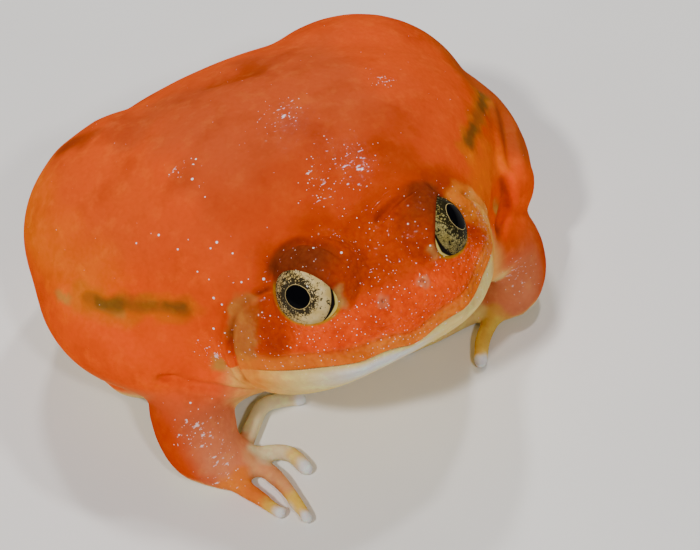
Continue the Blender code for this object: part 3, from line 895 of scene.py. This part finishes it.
@dataclass(frozen=True)
class Eye:
    """A wet eyeball with a dark oval pupil in a gold ring and a black-netted cream iris."""

    seat: EyeSeat
    dome: float = 0.35
    dome_span: Span = (0.55, 1.0)
    ring: float = 0.06
    limbus: float = 0.27
    wobble: float = 0.10
    thread: float = 2900.0
    blot: float = 2300.0

    def build(self) -> Object:
        """Makes the eyeball, with the slight dome of its cornea, and returns its object."""
        side = self.seat.side.name.lower()
        eye = sphere(self.seat.centre(), self.seat.radius, segments=96, rings=64)
        eye.name = "eyeball_" + side
        ray = points_of(eye) - self.seat.centre()
        facing = (ray @ self.seat.axes()[2]) / np.linalg.norm(ray, axis=1)
        grown = 1.0 + (self.dome / self.seat.radius) * ramp(*self.dome_span, facing)
        move_to(eye, self.seat.centre() + ray * grown[:, None])
        eye.data.shade_smooth()
        eye.data.materials.append(self.material())
        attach(eye, "root")
        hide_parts("eye_" + side)
        return eye

    def material(self) -> bpy.types.Material:
        """Builds the material in the eye's own flat coordinates, in millimetres from the pupil."""
        n = Nodes("gold_eye_" + self.seat.side.name.lower())
        u, v = self._flat(n)
        wobble = n.times(n.math("SUBTRACT", n.noise(900.0, 1.0), 0.5), self.wobble)
        wide, tall = self.seat.pupil
        oval = self._length(n, n.math("DIVIDE", u, wide), n.math("DIVIDE", v, tall))
        inside = n.math("ADD", oval, wobble)
        colour = n.mix(1.0, self._net(n, u, v, inside), self.seat.shade, "MULTIPLY")
        colour = self._edged(n, colour, u, v)
        ring = n.times(n.span(inside, 1.0, 1.03), n.span(inside, 1.0 + self.ring, 0.97 + self.ring))
        colour = n.mix(n.times(ring, 0.9), colour, Tone.PUPIL_RING.value)
        colour = n.mix(n.span(inside, 1.01, 0.99), colour, Tone.PUPIL.value)
        return n.finish({
            "Base Color": colour, "Roughness": 0.45, "Coat Weight": 0.12, "Coat Roughness": 0.04, "Coat IOR": 1.38,
        })

    def _flat(self, n: Nodes) -> list[Socket]:
        """The places on the eye as millimetres ahead of the pupil and above it."""
        ahead, above, _ = self.seat.axes()
        gaze = self.seat.centre() + ahead * self.seat.look[0] + above * self.seat.look[1]
        offset = n.add("VectorMath", n.where, tuple(Row.put(gaze)), operation="SUBTRACT")
        return [
            n.add("VectorMath", offset, tuple(axis / MM), operation="DOT_PRODUCT").outputs["Value"]
            for axis in (ahead, above)
        ]

    @staticmethod
    def _length(n: Nodes, first: Value, second: Value) -> Socket:
        """The length of a flat vector."""
        return n.math("SQRT", n.math("ADD", n.times(first, first), n.times(second, second)))

    def _edged(self, n: Nodes, colour: Value, u: Value, v: Value) -> Socket:
        """The iris's colour with its black edge, and the yellow corner in front of it."""
        front = n.span(u, 0.5, 3.6)
        aside, below, radius = self.seat.iris
        from_side = n.math("SUBTRACT", u, aside - self.seat.look[0])
        from_below = n.math("SUBTRACT", v, below - self.seat.look[1])
        reach = self._length(n, from_side, from_below)
        edge = n.math("ADD", radius, n.times(n.math("SUBTRACT", 1.0, front), 0.6))
        black = n.span(n.math("SUBTRACT", reach, edge), -0.08, 0.0)
        colour = n.mix(black, colour, Tone.IRIS_EDGE.value)
        beyond = n.math("SUBTRACT", reach, radius + self.limbus)
        narrowed = n.math("ADD", beyond, n.times(n.math("ABSOLUTE", from_below), 0.10))
        return n.mix(n.times(n.span(narrowed, 0.0, 0.08), front), colour, Tone.EYE_CORNER.value)

    def _net(self, n: Nodes, u: Value, v: Value, inside: Value) -> Socket:
        """The iris: cream and gold under a net of black threads, thickest round and behind the pupil."""
        twist = n.noise(1400.0).outputs["Color"]
        bent = n.add("VectorMath", twist, (0.5 * MM,) * 3, n.where, operation="MULTIPLY_ADD")
        cells = n.cells(self.thread, "DISTANCE_TO_EDGE", bent)
        rear, under = n.span(u, 2.2, -2.6, 0.0, 0.26), n.span(v, 0.6, -2.4, 0.0, 0.06)
        close = n.math("ADD", n.span(inside, 1.1, 1.9, 0.5, 0.0), self.seat.net)
        amount = n.math("ADD", n.math("ADD", rear, under), close)
        thread = n.span(n.math("SUBTRACT", n.times(amount, 0.34), cells.outputs["Distance"]), -0.02, 0.01)
        blots = n.noise(self.blot, 3.0, 0.7)
        spot = n.span(n.math("ADD", blots, n.times(amount, 0.24)), 0.60, 0.63)
        dark = n.math("MAXIMUM", n.times(thread, n.span(amount, 0.05, 0.25)), spot)
        tone = n.mix(n.span(n.noise(700.0), 0.35, 0.65), Tone.IRIS.value, Tone.IRIS_GOLD.value)
        tone = n.mix(n.span(self._length(n, u, v), 3.1, 4.1, 0.0, 0.5), tone, Tone.IRIS_DIM.value)
        return n.mix(n.times(dark, 0.95), tone, Tone.IRIS_NET.value)


@dataclass(frozen=True)
class Lamp:
    """A square soft lamp that faces the frog: its edge in millimetres, its power in watts."""

    name: str
    place: Point
    size: float
    power: float
    colour: Point = (1.0, 1.0, 1.0)
    aim: Point = (0.0, 25.0, 20.0)

    def build(self) -> None:
        """Adds the lamp to the scene."""
        data = bpy.data.lights.new(self.name, "AREA")
        data.shape = "SQUARE"
        data.size = self.size * MM
        data.energy = self.power
        data.color = self.colour
        lamp = bpy.data.objects.new(self.name, data)
        bpy.context.scene.collection.objects.link(lamp)
        spot, aim = Vector(Row.put(self.place)), Vector(Row.put(self.aim))
        turn = (aim - spot).to_track_quat("-Z", "Y").to_matrix().to_4x4()
        lamp.matrix_world = Matrix.Translation(spot) @ turn


@dataclass(frozen=True)
class Studio:
    """Pale floor, soft light and the photograph's camera.

    aim, the middle of the lips, falls on aim_pixel. scale is in pixels for each millimetre there.
    """

    azimuth: float = -24.5
    elevation: float = 46.0
    roll: float = 8.5
    distance: float = 240.0
    scale: float = 8.0
    sensor: float = 36.0
    aim: Point = (0.0, 0.0, 21.8)
    aim_pixel: Span = (415.0, 343.0)
    picture: tuple[int, int] = (700, 550)
    floor_tones: tuple[Point, Point] = ((0.86, 0.845, 0.82), (0.90, 0.885, 0.86))
    sky: Point = (0.9, 0.93, 1.0)
    sky_strength: float = 0.10
    lamps: tuple[Lamp, ...] = (
        Lamp("key", (-330.0, -150.0, 500.0), 50.0, 2.2, (1.0, 0.97, 0.93)),
        Lamp("top", (110.0, 260.0, 400.0), 40.0, 0.7),
        Lamp("crown", (200.0, 120.0, 430.0), 35.0, 0.6),
        Lamp("front", (-20.0, -390.0, 400.0), 40.0, 0.9),
    )

    def camera(self) -> None:
        """Adds the camera, placed so that the lips fall on their pixel."""
        a, e, r = (math.radians(v) for v in (self.azimuth, self.elevation, self.roll))
        back = np.array((math.sin(a) * math.cos(e), -math.cos(a) * math.cos(e), math.sin(e)))
        level = np.array((math.cos(a), math.sin(a), 0.0))
        rise = np.cross(back, level)
        right = math.cos(r) * level - math.sin(r) * rise
        up = math.sin(r) * level + math.cos(r) * rise
        dx = (self.aim_pixel[0] - self.picture[0] / 2) / self.scale
        dy = -(self.aim_pixel[1] - self.picture[1] / 2) / self.scale
        place = Row.put(np.array(self.aim) + back * self.distance - right * dx - up * dy)
        data = bpy.data.cameras.new("camera")
        data.sensor_fit = "HORIZONTAL"
        data.sensor_width = self.sensor
        data.lens = self.distance * self.scale * self.sensor / self.picture[0]
        data.clip_start = 0.01
        data.clip_end = 20.0
        camera = bpy.data.objects.new("camera", data)
        bpy.context.scene.collection.objects.link(camera)
        turn = Matrix((right, up, back)).transposed().to_4x4()
        camera.matrix_world = Matrix.Translation(Vector(place)) @ turn
        bpy.context.scene.camera = camera

    def floor(self) -> None:
        """Adds a wide pale floor."""
        choose([])
        bpy.ops.mesh.primitive_plane_add(size=3.0, location=(0, 0, 0))
        plane = bpy.context.object
        plane.name = "floor"
        n = Nodes("pale_floor")
        cloud = n.span(n.noise(18.0, 3.0), 0.3, 0.7)
        plane.data.materials.append(
            n.finish({"Base Color": n.mix(cloud, *self.floor_tones), "Roughness": 0.75, "IOR": 1.5})
        )

    def light(self) -> None:
        """Adds a soft key from the frog's right, two lamps for the back, a front fill and a dim sky."""
        for lamp in self.lamps:
            lamp.build()
        world = bpy.data.worlds.new("studio")
        bpy.context.scene.world = world
        world.use_nodes = True
        shade = world.node_tree.nodes["Background"]
        shade.inputs["Color"].default_value = (*self.sky, 1.0)
        shade.inputs["Strength"].default_value = self.sky_strength


# Where the skin is wet, with a glossier coat, more painted glints and painted streaks of sheen; with the half width
# of each place.
SHEEN: tuple[tuple[Point, float], ...] = (
    ((0.3, 30.0, 38.7), 3.0), ((3.6, 18.5, 37.0), 4.0), ((-1.8, 17.4, 36.8), 2.6), ((15.0, 30.0, 36.6), 2.0),
    ((-15.0, 31.0, 36.9), 1.6), ((-21.0, 15.0, 20.0), 2.5), ((-26.0, 14.0, 9.0), 3.0), ((-25.0, 11.0, 5.5), 2.5),
    ((-25.5, 9.0, 3.5), 2.5), ((18.0, 9.0, 24.0), 2.5), ((24.0, 14.0, 8.0), 3.0), ((14.0, 15.5, 1.5), 3.0),
    ((-7.2, 2.4, 29.0), 2.4), ((-4.8, 0.6, 28.2), 2.4), ((-2.0, -0.4, 25.9), 2.2), ((4.8, 5.8, 33.9), 2.6),
    ((-12.7, 5.6, 27.2), 2.0),
)

# Where larger beads of water lie, painted as pale glints.
GLINT_BEAD_PLACES: tuple[Point, ...] = (
    (-18.8, 15.8, 29.0), (-16.8, 14.4, 30.2), (-14.6, 13.9, 31.6), (-12.1, 13.9, 33.0), (-22.3, 26.1, 32.5),
    (-20.2, 22.8, 32.6), (-18.2, 19.5, 32.3), (-15.6, 17.8, 33.2), (-12.3, 30.7, 37.6), (-14.8, 26.8, 36.4),
    (-19.8, 13.6, 22.8), (16.5, 10.6, 27.4), (15.9, 12.5, 29.5), (14.6, 5.0, 22.1), (5.2, 3.8, 31.8),
    (-5.5, 8.9, 35.2), (-25.4, 15.4, 13.0), (-22.9, 14.5, 12.9),
)

# Behind the eyes, at the arms and haunches, on the back, over the eyes, round the rump and vent.
FOLDS = (
    Fold(Path3(((-13.7, 11.8, 29.9), (-14.7, 12.3, 29.4), (-15.8, 12.6, 28.8), (-17.0, 13.1, 27.7),
        (-18.1, 13.1, 26.1), (-19.0, 13.0, 23.9), (-19.5, 12.9, 21.5), (-19.7, 12.5, 19.7), (-19.4, 12.1, 18.0),
        (-18.9, 11.6, 16.6), (-17.9, 11.8, 14.6))), 0.45, 0.95, 0.2, 0.75, 0.06),
    Fold(Path3(((14.1, 12.3, 30.7), (16.0, 11.9, 29.0), (17.6, 12.2, 26.4), (19.0, 12.4, 22.5),
        (19.4, 12.1, 18.0), (17.9, 11.8, 14.6))), 0.42, 0.5, 0.2, 0.2, 0.2),
    Fold(Path3(((-12.8, 11.2, 30.5), (-13.7, 11.8, 29.9), (-14.7, 12.3, 29.4), (-15.8, 12.6, 28.8))), 0.3, 0.35,
        0.0, 0.85, 0.25),
    Fold(Path3(((-29.0, 18.6, 16.6), (-28.0, 17.8, 17.3), (-26.6, 17.4, 16.5), (-24.4, 15.9, 15.2),
        (-22.2, 14.4, 14.5), (-20.1, 13.6, 13.0), (-17.1, 13.3, 11.4))), 0.5, 0.8, 0.2, 0.85),
    Fold(Path3(((26.2, 19.8, 21.4), (25.9, 18.8, 19.8), (25.4, 17.6, 17.6), (24.2, 16.8, 16.8),
        (22.3, 15.4, 16.4), (20.2, 13.6, 14.5))), 0.7, 1.0, 0.25, 0.8, 0.15),
    Fold(Path3(((33.0, 31.5, 22.4), (31.9, 27.4, 22.1), (30.6, 24.7, 22.0), (29.3, 22.3, 21.7),
        (28.1, 20.1, 21.3), (27.6, 18.7, 19.6))), 0.9, 0.8, 0.2, 0.5, 0.25),
    Fold(Path3(((-7.0, 46.5, 34.5), (-3.6, 45.6, 35.2), (-0.6, 43.9, 35.9), (2.4, 43.0, 36.1),
        (5.0, 40.0, 37.2))), 2.6, 0.6, 0.0, 0.35, 0.3),
    Fold(Path3(((-12.6, 12.4, 31.3), (-11.9, 13.1, 32.4), (-10.7, 13.2, 33.6), (-9.1, 13.0, 34.0),
        (-7.7, 12.2, 34.3), (-6.7, 10.3, 35.2), (-5.8, 8.5, 35.3), (-5.2, 6.8, 34.8), (-4.9, 5.6, 33.7))), 0.5,
        0.4, 0.5, 0.3, 0.3),
    Fold(Path3(((1.2, 9.7, 33.6), (3.0, 10.5, 34.2), (5.1, 10.9, 34.7), (7.2, 11.2, 35.0), (9.8, 12.2, 33.8))),
        0.5, 0.8, 0.35, 0.9, 0.2),
    Fold(Path3(((8.5, 63.7, 12.0), (16.2, 60.2, 17.0), (22.0, 57.4, 21.5), (25.8, 54.0, 24.0),
        (28.6, 50.5, 25.5)), True), 2.0, 1.5, 0.2, 0.35, 0.3),
    Fold(Path3(((28.8, 24.3, 9.0), (32.0, 32.0, 9.0), (31.8, 40.4, 9.0), (29.4, 49.0, 9.0), (23.7, 55.7, 9.0),
        (16.4, 60.4, 9.0)), True), 1.5, 1.3, 0.2, 0.4, 0.25),
    Fold(Path3(((-2.0, 61.8, 20.5), (0.0, 62.4, 19.6), (2.0, 61.8, 20.5))), 0.6, 0.7, 0.3, 0.7, 0.3),
)


def mark(tone: Tone, width: float, fade: float, strength: float, *points: Point) -> Stain:
    """A stain along points, or round a single one."""
    return Stain(tone, Path3(points if len(points) > 1 else points * 2), width, fade, strength)


# The flanks' bars, what is behind and before the eyes, the mouth's corners, the back with painted shade in its
# creases, the hands.
STAINS = (
    mark(Tone.OCHRE, 1.0, 1.8, 0.55, (-32.1, 30.5, 23.7), (-29.3, 26.4, 24.0), (-26.2, 22.6, 24.9),
        (-22.4, 18.3, 26.3)),
    mark(Tone.SPOT, 0.3, 0.8, 0.6, (-34.0, 33.8, 22.6), (-33.2, 32.2, 23.0)),
    mark(Tone.SPOT, 0.3, 1.0, 0.4, (-30.5, 28.6, 23.2), (-29.9, 27.2, 23.4), (-28.5, 25.2, 23.8)),
    mark(Tone.MARK, 0.5, 1.1, 0.48, (-31.3, 29.6, 24.0), (-29.3, 26.2, 24.4), (-28.0, 24.9, 25.0),
        (-26.6, 23.2, 25.5), (-25.2, 21.5, 25.8), (-23.7, 20.0, 26.2), (-22.2, 18.4, 26.4)),
    mark(Tone.MARK, 0.25, 1.0, 0.7, (-30.4, 28.2, 24.3), (-29.3, 26.2, 24.4), (-28.4, 25.4, 24.8)),
    mark(Tone.MARK, 0.1, 0.8, 0.4, (-28.0, 24.9, 25.0), (-26.6, 23.2, 25.5), (-25.2, 21.5, 25.8)),
    mark(Tone.MARK, 0.2, 0.8, 0.65, (-23.9, 20.2, 26.2), (-22.5, 18.7, 26.4)),
    mark(Tone.SPOT, 0.6, 0.9, 0.75, (-20.7, 14.6, 18.6), (-20.9, 14.8, 17.6)),
    mark(Tone.OCHRE, 0.9, 1.6, 0.6, (30.6, 30.8, 24.6), (26.3, 25.2, 27.7), (23.9, 22.3, 28.8),
        (20.0, 18.2, 29.7)),
    mark(Tone.MARK, 0.3, 1.3, 0.5, (31.0, 31.4, 24.2), (28.0, 27.4, 26.4), (23.9, 22.3, 28.8),
        (21.2, 19.6, 29.5)),
    mark(Tone.MARK, 0.3, 1.0, 0.6, (31.0, 31.4, 24.2), (29.4, 29.1, 25.4), (28.0, 27.4, 26.4)),
    mark(Tone.MARK, 0.3, 1.0, 0.65, (23.9, 22.3, 28.8), (22.4, 20.6, 29.2), (21.2, 19.6, 29.5)),
    mark(Tone.SPOT, 0.5, 0.9, 0.7, (23.8, 16.9, 18.6), (23.9, 17.0, 17.8)),
    mark(Tone.HAZEL, 1.7, 0.9, 0.85, (-16.8, 12.1, 28.2), (-18.1, 11.5, 25.5), (-18.6, 11.2, 22.8)),
    mark(Tone.LIP, 1.9, 1.4, 0.85, (14.6, 11.4, 28.9), (17.0, 10.8, 26.2), (18.0, 10.6, 23.0)),
    mark(Tone.CORNER, 0.1, 1.2, 0.42, (-7.4, 4.0, 32.4), (-7.6, 3.4, 31.1)),
    mark(Tone.CORNER, 0.1, 0.9, 0.4, (5.5, 4.0, 32.0), (5.8, 3.4, 31.0)),
    mark(Tone.JAW, 0.8, 1.0, 0.85, (16.9, 12.1, 27.6), (18.2, 11.6, 24.8), (18.9, 11.2, 22.0),
        (18.6, 10.8, 19.5)),
    mark(Tone.RUST, 0.8, 2.2, 0.6, (-14.9, 10.0, 28.1), (-15.6, 8.9, 26.5), (-15.6, 7.9, 24.9)),
    mark(Tone.LIP, 0.9, 1.0, 0.5, (-18.4, 10.6, 20.4), (-18.4, 10.6, 18.6), (-17.6, 11.0, 16.4)),
    mark(Tone.AMBER, 2.0, 3.5, 0.7, (20.3, 15.6, 25.4), (22.5, 17.8, 24.4), (24.8, 20.4, 23.6)),
    # Painted shade at the right rump's edge, in the crease across the rump and in the neck behind the left eye.
    mark(Tone.BROWN, 0.4, 3.2, 0.7, (-24.0, 50.8, 30.6), (-22.8, 49.6, 31.6), (-21.4, 48.8, 32.4)),
    mark(Tone.BROWN, 0.4, 4.0, 0.3, (2.8, 48.1, 33.8), (3.9, 43.8, 35.4)),
    mark(Tone.BROWN, 0.4, 4.0, 0.3, (8.8, 16.8, 35.5), (12.4, 13.5, 32.5)),
    mark(Tone.BACK_DULL, 2.0, 4.0, 0.5, (-16.0, 44.0, 34.0), (-9.0, 45.0, 35.0)),
    mark(Tone.ROSE, 1.3, 1.4, 0.85, (-20.4, 10.4, 2.0), (-19.4, 7.2, 1.6), (-19.0, 3.0, 1.2)),
    mark(Tone.LIP, 1.3, 1.6, 0.85, (-24.2, 8.4, 2.0), (-22.2, 3.8, 1.2)),
    mark(Tone.BUTTER, 1.2, 2.4, 0.9, (-18.95, 1.4, 1.2), (-19.05, -0.9, 1.2)),
    mark(Tone.BUTTER, 1.0, 2.4, 0.85, (-21.5, 2.0, 1.2)),
    mark(Tone.IVORY, 1.6, 1.5, 0.9, (-19.0, 11.5, 1.2), (-15.8, 9.6, 1.2), (-15.1, 6.2, 1.2)),
    mark(Tone.IVORY, 1.6, 1.5, 0.9, (-18.0, 16.2, 1.2), (-14.8, 18.8, 1.2), (-9.8, 17.2, 1.2)),
    mark(Tone.BUTTER, 0.7, 0.8, 0.7, (-15.5, 8.4, 2.0)),
    mark(Tone.BUTTER, 1.5, 1.5, 0.9, (19.0, 13.4, 1.2), (16.2, 11.2, 1.2), (14.0, 8.4, 1.2)),
    mark(Tone.CREAM, 1.6, 1.5, 0.9, (17.6, 15.9, 1.2), (12.2, 15.9, 1.2), (7.0, 16.5, 1.2)),
    mark(Tone.IVORY, 1.6, 1.5, 0.9, (17.2, 19.2, 1.2), (13.0, 20.2, 1.2), (9.4, 20.2, 1.2)),
    mark(Tone.IVORY, 1.6, 1.5, 0.9, (19.4, 21.0, 1.2), (16.4, 23.4, 1.2), (13.6, 24.4, 1.2)),
) + tuple(
    mark(Tone.TIP, 0.8, 1.1, 0.9, tip)
    for tip in ((-19.1, -1.4, 1.2), (-21.3, 1.3, 1.2), (-15.0, 5.8, 1.2), (-9.4, 17.1, 1.2), (14.0, 6.6, 1.2),
                (13.6, 8.0, 1.2), (6.6, 16.6, 1.2), (9.0, 20.2, 1.2), (13.2, 24.5, 1.2))
)


def main() -> None:
    """Builds the frog piece by piece and reports each."""
    logging.basicConfig(level=logging.INFO, format="%(message)s")
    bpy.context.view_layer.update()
    studio = Studio()
    studio.camera()
    studio.floor()
    studio.light()
    seats = (
        EyeSeat(Side.RIGHT, out=59.0, up=29.7, look=(-0.02, 0.34), iris=(-0.35, 0.1, 4.2), pupil=(1.68, 1.46)),
        EyeSeat(
            Side.LEFT, out=55.0, up=32.0, look=(-0.25, 0.35), iris=(-0.05, -0.1, 4.12), pupil=(1.75, 1.85),
            net=0.16, shade=(0.55, 0.60, 0.48), brow=0.65, half_width=4.55, place=(7.3, 8.8, 29.2),
        ),
    )
    skin = Skin(seats).build()
    LOG.info("skin: %d faces", len(skin.data.polygons))
    for seat in seats:
        eye = Eye(seat).build()
        LOG.info("%s: %d faces", eye.name, len(eye.data.polygons))


if __name__ == "__main__":
    main()
